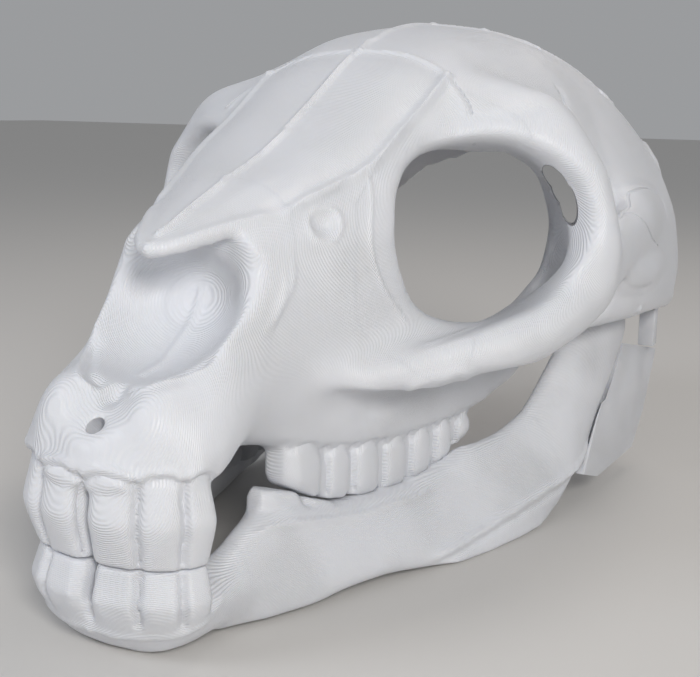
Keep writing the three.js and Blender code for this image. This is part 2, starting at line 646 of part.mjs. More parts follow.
const posts = bothSides((side) => {
  const [long, wide] = POST.size;
  const [x, y] = [POST.x, side * POST.y];
  return block(x - long / 2, x + long / 2, y - wide / 2, y + wide / 2, POST.foot, POST.top);
});

const screws = bothSides((s) => {
  const half = SCREW.length / 2;
  return rod(SCREW.at, SCREW.out, SCREW.r, half, s, half - SCREW.sunk);
});
const screwHoles = bothSides((s) => rod(SCREW.at, SCREW.out, SCREW.hole, SCREW.length / 2 + CUT, s));

// ---- Parting into bones ----
const noseCut = [ellipsoid(NOSE_SCOOP, 1, 12), ellipsoid(NOSE_NOTCH, 1, 12), nasalSpace];
let head = cutAll(cranium, [...noseCut, ...screwHoles]);
const bones = {};
for (const [name, side] of Object.entries(SIDES)) {
  [head, bones[`temporal_${name}`]] = takeOut(head, TEMPORAL, side);
  [head, bones[`zygomatic_${name}`]] = takeOut(head, ZYGOMATIC, side);
  [head, bones[`lacrimal_${name}`]] = takeOut(head, LACRIMAL, side);
}
const [premaxilla, behindPremaxilla] = split(head, PREMAXILLA_END.at, PREMAXILLA_END.lean);
const palate = (grow) =>
  block(0, PALATE_BACK.x, -PALATE_BACK.half - grow, PALATE_BACK.half + grow, 0, PALATE_BACK.z + grow);
const face = behindPremaxilla.subtract(behind(FACE_END.at, FACE_END.lean, -CUT / 2).subtract(palate(0)));
const backHalf = behind(FACE_END.at, FACE_END.lean, CUT / 2).subtract(palate(CUT));
const braincase = behindPremaxilla.intersect(backHalf);
const [jawFront, jawRest] = split(jawBody, JAW_FRONT_END.at, JAW_FRONT_END.lean);

add("nasal_bones", nasalBones);
add("premaxilla", join([premaxilla, ...incisors(UPPER_INCISOR, 1)]));
add("mandible_front", join([jawFront, ...incisors(LOWER_INCISOR, LOWER_ARCH)]));
const [faces, braincases, jaws] = [face, braincase, jawRest].map(halve);
Object.entries(SIDES).forEach(([name, side], i) => {
  const [body, ramus] = split(jaws[i], RAMUS_START.at, RAMUS_START.lean);
  const [frontal, parietal] = split(braincases[i], FRONTAL_END.at, FRONTAL_END.lean);
  add(`maxilla_${name}`, join([faces[i], ...cheekRow(side, true)]));
  add(`frontal_${name}`, frontal);
  add(`parietal_${name}`, parietal);
  for (const bone of ["lacrimal", "zygomatic", "temporal"]) add(`${bone}_${name}`, bones[`${bone}_${name}`]);
  add(`mandible_${name}`, join([body, ...cheekRow(side, false)]));
  add(`ramus_${name}`, ramus);
  add(`jaw_angle_plate_${name}`, plates[i]);
  add(`jaw_post_${name}`, posts[i]);
  add(`rim_screw_${name}`, screws[i], STEEL);
});
object.position.x = -MIDDLE_X;
export default object;
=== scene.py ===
import math

import bmesh
import bpy
import numpy as np
from mathutils import Matrix, Vector
from mathutils.kdtree import KDTree


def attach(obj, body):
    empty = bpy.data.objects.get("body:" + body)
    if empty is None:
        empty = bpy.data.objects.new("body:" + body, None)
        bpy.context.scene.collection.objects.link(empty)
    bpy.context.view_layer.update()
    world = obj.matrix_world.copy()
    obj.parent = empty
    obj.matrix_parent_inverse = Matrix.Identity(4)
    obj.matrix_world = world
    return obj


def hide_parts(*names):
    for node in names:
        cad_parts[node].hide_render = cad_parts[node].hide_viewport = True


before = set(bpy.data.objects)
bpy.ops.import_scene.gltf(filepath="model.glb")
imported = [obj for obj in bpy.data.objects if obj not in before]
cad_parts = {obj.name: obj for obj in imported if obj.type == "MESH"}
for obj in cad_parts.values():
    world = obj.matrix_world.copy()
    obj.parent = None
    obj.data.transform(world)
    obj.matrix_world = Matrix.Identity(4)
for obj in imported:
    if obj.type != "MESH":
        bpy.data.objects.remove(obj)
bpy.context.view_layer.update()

# ---- Floor, light and camera ----
# A plain pale floor under three large soft lamps, as in a small product studio. The camera stands low in
# front of the muzzle, a little above the skull, and looks back along its left side.
EYE_POINT = (-0.40918, -0.23008, 0.16232)
LOOK = Vector((0.85083, 0.48877, -0.19285))
RIGHT = Vector((0.50098, -0.86529, 0.01725))
LENS = 61.78
SENSOR = 36
SKY = ("#e9ebee", 0.4)
LAMPS = {  # place, size, power and colour of each
    "window": ((-0.8, -0.75, 0.6), 0.35, 7.2, "#fffcf8"),
    "fill": ((-0.8, 0.6, 0.75), 0.5, 2.6, "#f2f6ff"),
    "back": ((0.6, -0.1, 1.05), 0.5, 2.0, "#fff4ea"),
}
LAMP_AIM = Vector((0, 0, 0.09))
FLOOR_HALF = 6


def linear(code):
    """A colour written as sRGB hex, in the linear values that shaders take."""
    values = [int(code[i : i + 2], 16) / 255 for i in (1, 3, 5)]
    return [v / 12.92 if v <= 0.04045 else ((v + 0.055) / 1.055) ** 2.4 for v in values] + [1]


def add_node(tree, kind, settings=None, links=None):
    """Adds a shader node. Settings name its options and its sockets' values; links name their sources."""
    node = tree.nodes.new(kind)
    for key, value in (settings or {}).items():
        if isinstance(key, str) and hasattr(node, key) and key not in node.inputs:
            setattr(node, key, value)
        else:
            node.inputs[key].default_value = value
    for key, source in (links or {}).items():
        tree.links.new(source, node.inputs[key])
    return node


def new_material(name):
    """An empty material: its node tree and the node that gives its surface."""
    material = bpy.data.materials.new(name)
    material.use_nodes = True
    tree = material.node_tree
    tree.nodes.clear()
    return material, tree, tree.nodes.new("ShaderNodeOutputMaterial")


scene = bpy.context.scene
scene.view_settings.view_transform = "Standard"
lens = bpy.data.cameras.new("camera")
lens.sensor_width = SENSOR
lens.lens = LENS
camera = bpy.data.objects.new("camera", lens)
scene.collection.objects.link(camera)
look = LOOK.normalized()
right = (RIGHT - look * RIGHT.dot(look)).normalized()
turn = Matrix((right, right.cross(look), -look)).transposed()
camera.matrix_world = Matrix.Translation(EYE_POINT) @ turn.to_4x4()
scene.camera = camera

world = bpy.data.worlds.new("studio")
world.use_nodes = True
sky = world.node_tree.nodes["Background"]
sky.inputs["Color"].default_value = linear(SKY[0])
sky.inputs["Strength"].default_value = SKY[1]
scene.world = world

for lamp_name, (place, size, power, tint) in LAMPS.items():
    lamp = bpy.data.lights.new(lamp_name, "AREA")
    lamp.shape = "DISK"
    lamp.size = size
    lamp.energy = power
    lamp.color = linear(tint)[:3]
    holder = bpy.data.objects.new(lamp_name, lamp)
    scene.collection.objects.link(holder)
    aim = LAMP_AIM - Vector(place)
    holder.matrix_world = Matrix.Translation(place) @ aim.to_track_quat("-Z", "Y").to_matrix().to_4x4()

floor_shape = bmesh.new()
bmesh.ops.create_grid(floor_shape, x_segments=1, y_segments=1, size=FLOOR_HALF)
floor_mesh = bpy.data.meshes.new("floor")
floor_shape.to_mesh(floor_mesh)
floor_shape.free()
floor = bpy.data.objects.new("floor", floor_mesh)
scene.collection.objects.link(floor)
paper, tree, output = new_material("pale_paper_floor")
surface = add_node(tree, "ShaderNodeBsdfPrincipled", {"Base Color": linear("#d6d4d1"), "Roughness": 0.85})
tree.links.new(surface.outputs["BSDF"], output.inputs["Surface"])
floor_mesh.materials.append(paper)

# ---- Upper skull ----
# The cranium is one hollow print in cool white PLA. Its bones run into each other without gaps, and raised
# beads stand where sutures would be. Each bone is its own closed piece, cut from the same smoothed skin.
MM = 1000  # in a metre
MIDDLE = 161.2  # mm from the incisors back to the middle of the length
VOXEL = 0.0010  # m, the grain of the skin
GROW = 0.0002  # m, closes the thin cuts between the CAD bones
PREFIX = "pla_"  # before a node's name, for the printed piece that shows it
SIDES = {"left": -1, "right": 1}
BACK, ACROSS, UP = range(3)
BEAD_REACH = 3  # widths to each side, beyond which a bead no longer shows
SHARP_ANGLE = 50  # degrees, above which an edge stays sharp
FRONT_MARGIN = (4, -2.4)  # mm, where a margin that holds the skin back starts, and its limit
TOP_MARGIN = (186, 195.9)
UPPER_BONES = ["nasal_bones", "premaxilla"] + [
    f"{bone}_{side}"
    for bone in ("maxilla", "frontal", "parietal", "lacrimal", "zygomatic", "temporal")
    for side in SIDES
]


def merged_copy(name, nodes, grow=GROW):
    """One object of copies of CAD nodes, whose loose triangles are merged and moved out a little."""
    whole = bmesh.new()
    for node in nodes:
        solid = bmesh.new()
        solid.from_mesh(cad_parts[node].data)
        bmesh.ops.remove_doubles(solid, verts=solid.verts, dist=1e-6)
        solid.normal_update()
        for vert in solid.verts:
            vert.co += vert.normal * grow
        bit = bpy.data.meshes.new(node)
        solid.to_mesh(bit)
        solid.free()
        whole.from_mesh(bit)
        bpy.data.meshes.remove(bit)
    mesh = bpy.data.meshes.new(name)
    whole.to_mesh(mesh)
    whole.free()
    piece = bpy.data.objects.new(name, mesh)
    scene.collection.objects.link(piece)
    return piece


def settle(piece):
    """Applies a piece's modifiers to its mesh."""
    graph = bpy.context.evaluated_depsgraph_get()
    mesh = bpy.data.meshes.new_from_object(piece.evaluated_get(graph))
    piece.modifiers.clear()
    old = piece.data
    piece.data = mesh
    bpy.data.meshes.remove(old)


def remesh(piece):
    """One closed skin of even small faces over everything in a piece."""
    modifier = piece.modifiers.new("skin", "REMESH")
    modifier.mode = "VOXEL"
    modifier.voxel_size = VOXEL
    settle(piece)


def places(mesh):
    """Every vertex in mm, measured from the incisors back, from the middle and from the floor."""
    flat = np.empty(len(mesh.vertices) * 3)
    mesh.vertices.foreach_get("co", flat)
    return flat.reshape(-1, 3) * MM + (MIDDLE, 0, 0)


def put_back(mesh, spots):
    """Moves every vertex to its place in mm."""
    mesh.vertices.foreach_set("co", ((spots - (MIDDLE, 0, 0)) / MM).ravel())
    mesh.update()


def normals(mesh):
    """The direction out of the skin at every vertex."""
    flat = np.empty(len(mesh.vertices) * 3)
    mesh.vertex_normals.foreach_get("vector", flat)
    return flat.reshape(-1, 3)


def ramp(value, start, end):
    """0 before start and 1 after end, with a smooth rise."""
    t = np.clip((value - start) / (end - start), 0, 1)
    return t * t * (3 - 2 * t)


def smooth(piece, reach, rounds, levels=16):
    """Smooths the skin over about reach mm, which is an array with a value for each vertex."""
    top = reach.max()
    share = (reach / top) ** 2
    group = piece.vertex_groups.new(name="reach")
    level = np.ceil(share * levels).astype(int)
    for step in range(1, levels + 1):
        group.add(np.nonzero(level == step)[0].tolist(), (step - 0.5) / levels, "REPLACE")
    modifier = piece.modifiers.new("smooth", "SMOOTH")
    modifier.factor = 1
    modifier.iterations = rounds
    modifier.vertex_group = group.name
    settle(piece)
    piece.vertex_groups.clear()


def curve(points, step=0.5):
    """Points close together on a smooth curve through some points."""
    points = np.array(points, float)
    ends = np.vstack([2 * points[0] - points[1], points, 2 * points[-1] - points[-2]])
    path = []
    for a, b, c, d in zip(ends, ends[1:], ends[2:], ends[3:]):
        count = max(2, int(np.linalg.norm(c - b) / step))
        t = np.linspace(0, 1, count, endpoint=False)[:, None]
        square, cube = 2 * a - 5 * b + 4 * c - d, 3 * b - a - 3 * c + d
        path.append(0.5 * (2 * b + (c - a) * t + square * t**2 + cube * t**3))
    return np.vstack(path + [points[-1:]])


class Skin:
    """A dense mesh whose vertices are moved in and out along their normals, as a sculptor would."""

    def __init__(self, piece):
        self.piece = piece
        self.refresh()

    def refresh(self):
        """Reads the mesh's places and directions again."""
        self.spots = places(self.piece.data)
        self.out = normals(self.piece.data)
        self.tree = KDTree(len(self.spots))
        for index, spot in enumerate(self.spots.tolist()):
            self.tree.insert(spot, index)
        self.tree.balance()

    def settle(self):
        """Moves the mesh to where its vertices have been put."""
        put_back(self.piece.data, self.spots)
        self.refresh()

    def lay(self, points):
        """A smooth curve through some points, laid on the skin."""
        path = np.array([self.tree.find(p)[0] for p in curve(points).tolist()])
        for _ in range(6):
            path[1:-1] = (path[:-2] + 2 * path[1:-1] + path[2:]) / 4
        return path

    def near(self, points, reach):
        """Vertices near a curve on the skin: their numbers, their distances and their shares along it."""
        path = self.lay(points)
        low, high = path.min(0) - reach, path.max(0) + reach
        inside = np.nonzero(((self.spots > low) & (self.spots < high)).all(1))[0]
        line = KDTree(len(path))
        for index, spot in enumerate(path.tolist()):
            line.insert(spot, index)
        line.balance()
        found = [line.find(spot)[1:] for spot in self.spots[inside].tolist()]
        index = np.array([f[0] for f in found])
        away = np.array([f[1] for f in found])
        keep = away < reach
        return inside[keep], away[keep], index[keep] / (len(path) - 1)

    def bead(self, points, height, width, ends=(0.06, 0.06)):
        """A raised line, or a groove where the height is below zero."""
        inside, away, share = self.near(points, width * BEAD_REACH)
        fade = ramp(share, 0, ends[0]) if ends[0] else 1
        fade = fade * (1 - ramp(share, 1 - ends[1], 1) if ends[1] else 1)
        lift = height * fade * np.exp(-((away / width) ** 2))
        self.spots[inside] += self.out[inside] * lift[:, None]

    def swell(self, centre, half, height):
        """A soft round swelling, or a hollow where the height is below zero."""
        away = np.linalg.norm((self.spots - centre) / half, axis=1)
        inside = np.nonzero(away < 1)[0]
        lift = height * (1 - away[inside] ** 2) ** 2
        self.spots[inside] += self.out[inside] * lift[:, None]

    def shape(self, forms, side=-1):
        """Beads and swellings in turn. A form that starts with a list of points is a bead."""
        for place, *measures in forms:
            if isinstance(place, list):
                self.bead(mirrored(place, side), *measures)
            else:
                self.swell(mirrored([place], side)[0], *measures)

    def hold(self, axis, start, limit):
        """Draws what lies past the start of a margin back within its limit."""
        way = 1 if limit > start else -1
        past = np.maximum((self.spots[:, axis] - start) * way, 0)
        if past.max() > abs(limit - start):
            self.spots[:, axis] -= way * past * (1 - abs(limit - start) / past.max())


def mirrored(points, side):
    """Points given for the animal's left side, which is below zero across, put on one side."""
    return [(x, -y * side, z) for x, y, z in points]


def shifted(points, back, across, up, spread=1):
    """Points moved by some mm, and brought nearer to the middle by a share."""
    return [(x + back, y * spread + across, z + up) for x, y, z in points]


def ring(centre, first, second):
    """Points round an oval, from its centre and its two half axes."""
    return [tuple(c + a * math.cos(t) + b * math.sin(t) for c, a, b in zip(centre, first, second))
            for t in np.linspace(0, 2 * math.pi, 13)]


# Seams and lines of the upper skull, in mm: back from the incisors, across to the left, and up.
MIDLINE = [(34, 0, 121), (47, 0, 128), (64, 0, 134), (91, 0, 144), (115, 0, 157), (131, 0, 167),
           (155, 0, 181), (176, 0, 188), (201, 0, 195), (240, 0, 194), (280, 0, 181), (318, 0, 152)]
CORONAL = [(155, 0, 181), (156, -19, 179), (155, -32, 174), (153, -38, 171)]
NASOFRONTAL = [(153, -38, 171), (140, -38, 164), (118, -38, 153), (101, -38, 144), (85, -36, 141),
               (66, -31, 136), (60, -30, 130)]
BROW_CRACK = [(153, -38, 171), (150, -46, 161), (146, -53, 152)]
LACRIMAL_LINE = [(97, -39, 144), (94, -42, 135), (90, -45, 124), (89, -48, 114), (92, -51, 105),
                 (99, -56, 95), (109, -59, 90), (120, -64, 85), (127, -68, 84)]
TEMPLE_LINE = [(196, -40, 178), (201, -50, 170), (196, -62, 160), (178, -78, 148), (170, -88, 140),
               (163, -95, 132)]
NUCHAL_LINE = [(225, -20, 193), (237, -30, 187), (246, -42, 179), (261, -52, 170), (269, -60, 161),
               (271, -70, 149), (280, -76, 139), (286, -80, 130)]
NUCHAL_ARCH = [(218, 0, 196), (225, -20, 193)]
MUZZLE_STEP = [(60, -33, 118), (60, -33, 112), (58, -33, 106), (52, -32, 98), (46, -32, 91)]
LIP_OF_NOSE = [(31, 0, 118), (32, -4, 118), (37, -9.5, 121), (45, -15, 125), (56, -22, 129), (65, -27, 131)]
SCOOP_RIM = [(30, -26, 92), (24, -22, 88), (19, -18, 85), (14, -14, 83), (12, -9, 81), (13, -5, 79)]
SCOOP_MIDDLE = [(62, 0, 104), (56, 0, 94), (48, 0, 88), (36, 0, 81), (26, 0, 78)]
CREST = [(74, -40, 74), (84, -43, 73), (96, -50, 73), (108, -60, 75), (120, -68, 78), (130, -75, 78),
         (152, -83, 76), (160, -88, 80), (170, -94, 94)]
LIP_HOLE_EDGE = ring((6, 0, 68), (0, 5.2, 0), (4, 0, 4))
CHEEK_HOLE_EDGE = ring((74, -38, 126), (6.4, 0, 0), (0, 0, 6.4))
DISC_EDGE = [(172, -94, 124), (175, -94, 130), (184, -93, 133), (199, -92, 132), (222, -90, 131),
             (250, -87, 125), (260, -87, 118), (262, -86, 109), (254, -87, 102)]
DISC_SEAM = [(190, -93, 126), (214, -92, 117), (236, -89, 109), (247, -88, 105)]
LOBE_EDGE = [(254, -87, 101), (258, -87, 97), (248, -88, 93), (232, -89, 91.5), (212, -91, 94),
             (196, -93, 99)]
BAND_EDGE = [(274, -85, 94), (262, -86, 88), (245, -87, 85), (228, -88, 83)]

# Beads and grooves: points, height (below zero for a groove), width, and the shares over which the two
# ends fade. Swellings and hollows: centre, half size, height.
SHARP_ENDS = (0, 0)
MIDDLE_FORMS = [
    (MIDLINE, 1.3, 1.3, (0.01, 0.02)),
    (SCOOP_MIDDLE, 0.8, 1.6),
    ((4, 0, 66), (13, 17, 12), 2.6),
    ((13, 0, 78), (8, 5, 6), -2.6),
    (LIP_HOLE_EDGE, 0.5, 1.2, SHARP_ENDS),
]
SIDE_FORMS = [
    (CORONAL, 1.0, 1.1, SHARP_ENDS),
    (NASOFRONTAL, 1.5, 1.9, (0, 0.1)),
    (shifted(BROW_CRACK, 0, 2.4, 0), 0.5, 1.3, (0.2, 0.1)),
    (LACRIMAL_LINE, 0.6, 0.8),
    (TEMPLE_LINE, -0.7, 1.6, (0.3, 0.1)),
    (NUCHAL_ARCH, 1.2, 1.3, SHARP_ENDS),
    (NUCHAL_LINE, 1.2, 1.3, (0, 0.1)),
    (MUZZLE_STEP, 0.5, 1.2, (0.3, 0.3)),
    (shifted(MUZZLE_STEP, -3.5, 0, -2), 0.35, 1.0, (0.3, 0.3)),
    (LIP_OF_NOSE, 1.2, 2.4, (0, 0.2)),
    (SCOOP_RIM, 0.9, 1.2, (0.3, 0.1)),
    (shifted(SCOOP_RIM, 4, 0, -2, 0.92), -1.2, 1.8, (0.3, 0.1)),
    ((100, -46, 63), (40, 18, 11), -2.2),
    ((132, -72, 68), (40, 18, 11), -3.0),
    (CREST, 1.0, 2.4, (0.15, 0.1)),
    ((178, -76, 164), (42, 34, 26), 3.4),
    (CHEEK_HOLE_EDGE, 0.7, 1.1, SHARP_ENDS),
    ((222, -90, 120), (42, 12, 15), 2.6),
    ((226, -90, 97), (36, 12, 10), 3.6),
    (DISC_EDGE, 0.6, 2.0, (0.1, 0)),
    (shifted(DISC_EDGE, 1.5, 0, 2.8), -0.9, 2.0, (0.1, 0.05)),
    (LOBE_EDGE, -2.3, 1.4, (0, 0.2)),
    (BAND_EDGE, 1.5, 1.4),
]

# Incisors are parted at angles round the front of the mouth, and cheek teeth at distances from the front.
# The tables say where the cheek teeth's faces, cutting edges and gums are at each distance.
INCISOR_ENDS = (0, 30, 61, 87)
INCISOR_MIDDLE = 43
INCISOR_HALF = (9, 9, 15)
ARCH_CENTRE = 21
ARCH_HALF = (22.5, 33.5)
ARCH_POWER = 2.3  # 2 for an ellipse, and more for a squarer arch
UPPER_GROOVE = (57, 50, 43, 36, 29)
INCISOR_GUM = ((0, 54.5), (0.25, 57), (0.5, 57.6), (0.75, 57), (1, 54.5))  # share of a tooth's width, height
CHEEK_TEETH = (64, 84, 99, 115.5, 131, 145, 157.5, 168)
ROW = ((50, 27), (64, 29.5), (100, 34), (140, 41), (168, 47), (210, 58))
UPPER_EDGE = ((64, 41), (84, 31), (110, 26.5), (132, 25.8), (150, 28.5), (168, 38))
UPPER_GUM = ((60, 54), (66, 53), (90, 46.5), (124, 42.5), (153, 44), (171, 46))


def line_at(table, x):
    """What a table gives at a distance."""
    return float(np.interp(x, *zip(*table)))


def incisor_arch(degrees, z, share=1.0):
    """A point on the oval that the incisors' front faces follow."""
    t = math.radians(degrees)
    x = ARCH_CENTRE - ARCH_HALF[0] * share * math.cos(t) ** (2 / ARCH_POWER)
    return x, -ARCH_HALF[1] * share * math.sin(t) ** (2 / ARCH_POWER), z


# How far the skin is smoothed, in mm: widely over the domes and cheeks, and little at edges and teeth.
EYE = (124, 71, 123)
OUT_OF_EYE = (-0.56, 0.72, 0.28)
EYE_RADIUS = 35
REAR = (303, 67, 15)  # the cut behind the dome: back, up, and the degrees that its top leans back
NOSE_TIP = (50, 126)
upper = merged_copy("upper_skull", UPPER_BONES)
remesh(upper)
x, y, z = places(upper.data).T
out_of_eye = np.array(OUT_OF_EYE) / np.linalg.norm(OUT_OF_EYE)
to_eye = np.stack([x, abs(y), z], 1) - EYE
depth_of_eye = to_eye @ out_of_eye
from_eye_axis = np.linalg.norm(to_eye - depth_of_eye[:, None] * out_of_eye, axis=1)
near_rim = (1 - ramp(abs(from_eye_axis - EYE_RADIUS), 8, 18)) * (1 - ramp(abs(depth_of_eye), 10, 22))
lean = math.radians(REAR[2])
to_rear = (REAR[0] + (z - REAR[1]) * math.tan(lean) - x) * math.cos(lean)
over_gum = z - np.interp(x, *zip(*UPPER_GUM))
front_teeth = np.maximum(ramp(z, 58, 68), ramp(x, 26, 36))
to_nose_tip = np.hypot(x - NOSE_TIP[0], z - NOSE_TIP[1])
reach = 5.5 - 2.0 * near_rim
for limit in (
    1.2 + 4.3 * ramp(to_rear, 2, 16),
    0.9 + 4.6 * ramp(over_gum, -1, 12) + 5 * (ramp(x, 172, 182) + 1 - ramp(x, 52, 60)),
    0.9 + 3.6 * front_teeth + 2 * ramp(x, 55, 80),
    1.4 + 4 * ramp(to_nose_tip, 22, 40) + 5 * (1 - ramp(z, 112, 118)),
):
    reach = np.minimum(reach, limit)
smooth(upper, reach, rounds=160)

skin = Skin(upper)
skin.shape(MIDDLE_FORMS)
for side in SIDES.values():
    skin.shape(SIDE_FORMS, side)
skin.settle()
for side in SIDES.values():
    for k, (start, end) in enumerate(zip(INCISOR_ENDS, INCISOR_ENDS[1:])):
        gum = [incisor_arch(start * (1 - share) + end * share, height, share=1.02)
               for share, height in INCISOR_GUM]
        groove = [incisor_arch(start, height) for height in UPPER_GROOVE]
        forms = [
            (groove, -2.0, 1.1, SHARP_ENDS),
            (incisor_arch((start + end) / 2, INCISOR_MIDDLE), INCISOR_HALF, 1.1),
            (gum, -1.1, 1.1, SHARP_ENDS),
            (shifted(gum, 0, 0, 2.4), 0.6, 1.3, SHARP_ENDS),
        ]
        skin.shape(forms if k or side < 0 else forms[1:], side)
    for k, (start, end) in enumerate(zip(CHEEK_TEETH, CHEEK_TEETH[1:])):
        centre = (start + end) / 2
        low, high = line_at(UPPER_EDGE, centre), line_at(UPPER_GUM, centre)
        heights = np.linspace(line_at(UPPER_EDGE, start), line_at(UPPER_GUM, start), 5)
        groove = [(start, -line_at(ROW, start), height) for height in heights]
        neck = [(start, -line_at(ROW, start) - 1, line_at(UPPER_GUM, start) - 1.5),
                (centre, -line_at(ROW, centre) - 1, high + 1.2),
                (end, -line_at(ROW, end) - 1, line_at(UPPER_GUM, end) - 1.5)]
        middle = (centre, -line_at(ROW, centre), (low + high) / 2)
        forms = [
            (groove, -1.4, 0.9, SHARP_ENDS),
            (middle, ((end - start) * 0.6, 7, (high - low) * 0.6), 0.8),
            (neck, -1.0, 1.0, SHARP_ENDS),
        ]
        skin.shape(forms if k else forms[1:], side)
skin.hold(BACK, *FRONT_MARGIN)
skin.hold(UP, *TOP_MARGIN)
skin.settle()

# Where the bones part. Outlines are in side view, between two distances from the middle. Planes are given
# by how far back and up they pass, and by the degrees that their top leans back.
SIDE_BONES = {
    "temporal": ([(226, 88), (272, 84), (286, 100), (286, 132), (250, 142), (200, 142), (184, 119)], 80, 120),
    "zygomatic": ([(98, 60), (258, 70), (262, 92), (229, 128), (190, 122), (146, 121), (128, 104), (113, 84)],
                  70, 120),
    "lacrimal": ([(83, 112), (84, 94), (98, 74), (120, 74), (150, 100), (150, 190), (104, 160), (91, 140)],
                 38.2, 110),
}
NASAL_PLAN = [(31, 0), (32, 4.5), (37, 9.5), (46, 15), (57, 21.5), (66, 26.5), (85, 33), (101, 36),
              (140, 38), (150, 38)]
NASAL_UNDERSIDE = [(20, 110), (31, 112), (64, 126), (91, 136), (115, 149), (131, 159), (150, 172)]
NASAL_SIDE = NASAL_UNDERSIDE + [(150, 260), (20, 260)]
PALATE = ([(0, 0), (212, 0), (212, 84), (0, 84)], -70.6, 70.6)
PREMAXILLA_END = (31, 50, 25)
MAXILLA_END = (150, 0, 0)
FRONTAL_END = (208, 0, 0)
FAR = 500  # mm, beyond the whole skull
CORD_SIDES = 8
ASIDE = (0.31, 0.9, 0.3)  # a direction that no line runs along


def cutter(shape):
    """A closed solid to cut with, from a bmesh in mm."""
    bmesh.ops.recalc_face_normals(shape, faces=shape.faces)
    bmesh.ops.translate(shape, verts=shape.verts, vec=(-MIDDLE, 0, 0))
    bmesh.ops.scale(shape, verts=shape.verts, vec=(1 / MM,) * 3)
    mesh = bpy.data.meshes.new("cutter")
    shape.to_mesh(mesh)
    shape.free()
    tool = bpy.data.objects.new("cutter", mesh)
    scene.collection.objects.link(tool)
    return tool


def slab(outline, flat_axis, start, end):
    """A prism of an outline, between two distances along the axis that the outline leaves out."""
    shape = bmesh.new()
    others = [i for i in range(3) if i != flat_axis]
    verts = []
    for point in outline:
        spot = [0, 0, 0]
        spot[flat_axis] = start
        spot[others[0]], spot[others[1]] = point
        verts.append(shape.verts.new(spot))
    face = shape.faces.new(verts)
    raised = bmesh.ops.extrude_face_region(shape, geom=[face])["geom"]
    move = [0, 0, 0]
    move[flat_axis] = end - start
    bmesh.ops.translate(shape, verts=[g for g in raised if isinstance(g, bmesh.types.BMVert)], vec=move)
    return cutter(shape)


def cut_with(piece, tool, operation, name=None, keep_tool=False):
    """A named copy of a piece, or the piece itself, joined to or cut by a tool that is then used up."""
    if name:
        copy = bpy.data.objects.new(name, piece.data.copy())
        scene.collection.objects.link(copy)
        piece = copy
    modifier = piece.modifiers.new("cut", "BOOLEAN")
    modifier.operation = operation
    modifier.solver = "MANIFOLD"
    modifier.object = tool
    settle(piece)
    if not keep_tool:
        bpy.data.objects.remove(tool)
    return piece


def take_out(whole, tool, name):
    """Parts a bone from the whole, along a tool."""
    bone = cut_with(whole, tool, "INTERSECT", PREFIX + name, keep_tool=True)
    cut_with(whole, tool, "DIFFERENCE")
    return bone


def leaning(x, z, lean):
    """Everything in front of a plane through a point, whose top leans back by some degrees."""
    rise = math.tan(math.radians(lean))
    outline = [(-FAR, -FAR), (x + (-FAR - z) * rise, -FAR), (x + (FAR - z) * rise, FAR), (-FAR, FAR)]
    return slab(outline, ACROSS, -FAR, FAR)


def halved(whole, bone):
    """The left and right pieces of a bone, from a whole that is used up."""
    square = [(-FAR, -FAR), (FAR, -FAR), (FAR, FAR), (-FAR, FAR)]
    pieces = [cut_with(whole, slab(square, ACROSS, 0, side * FAR), "INTERSECT", f"{PREFIX}{bone}_{name}")
              for name, side in SIDES.items()]
    bpy.data.objects.remove(whole)
    return pieces


def oval(centre, half, along, turn):
    """An oval body whose first axis points along a direction. The second one is level before its turn."""
    shape = bmesh.new()
    bmesh.ops.create_icosphere(shape, subdivisions=4, radius=1)
    forward = Vector(along).normalized()
    level = Vector((0, 0, 1)).cross(forward).normalized()
    axes = Matrix((forward, level, forward.cross(level))).transposed().to_4x4()
    axes = axes @ Matrix.Rotation(math.radians(turn), 4, "X")
    shape.transform(Matrix.Translation(centre) @ axes @ Matrix.Diagonal((*half, 1)))
    return cutter(shape)


def cord(skin, points, radius, rise):
    """A round bar along a curve on the skin. Its ends rise out of it by some mm, or sink into it."""
    path = skin.lay(points)
    path = path[np.linspace(0, len(path) - 1, max(len(path) // 3, 12)).round().astype(int)]
    share = np.linspace(0, 1, len(path))
    at_ends = 1 - ramp(share, 0, 0.2) * (1 - ramp(share, 0.8, 1))
    path += rise * at_ends[:, None] * np.array([skin.out[skin.tree.find(p)[1]] for p in path.tolist()])
    shape = bmesh.new()
    along = np.gradient(path, axis=0)
    along /= np.linalg.norm(along, axis=1)[:, None]
    across = np.cross(along, ASIDE)
    across /= np.linalg.norm(across, axis=1)[:, None]
    out = np.cross(along, across)
    turns = [2 * math.pi * j / CORD_SIDES for j in range(CORD_SIDES)]
    rings = [[shape.verts.new(spot + radius * (math.cos(t) * a + math.sin(t) * b)) for t in turns]
             for spot, a, b in zip(path, across, out)]
    for low, high in zip(rings, rings[1:]):
        for j in range(CORD_SIDES):
            shape.faces.new((low[j], low[j - 1], high[j - 1], high[j]))
    shape.faces.new(rings[0])
    shape.faces.new(reversed(rings[-1]))
    return cutter(shape)


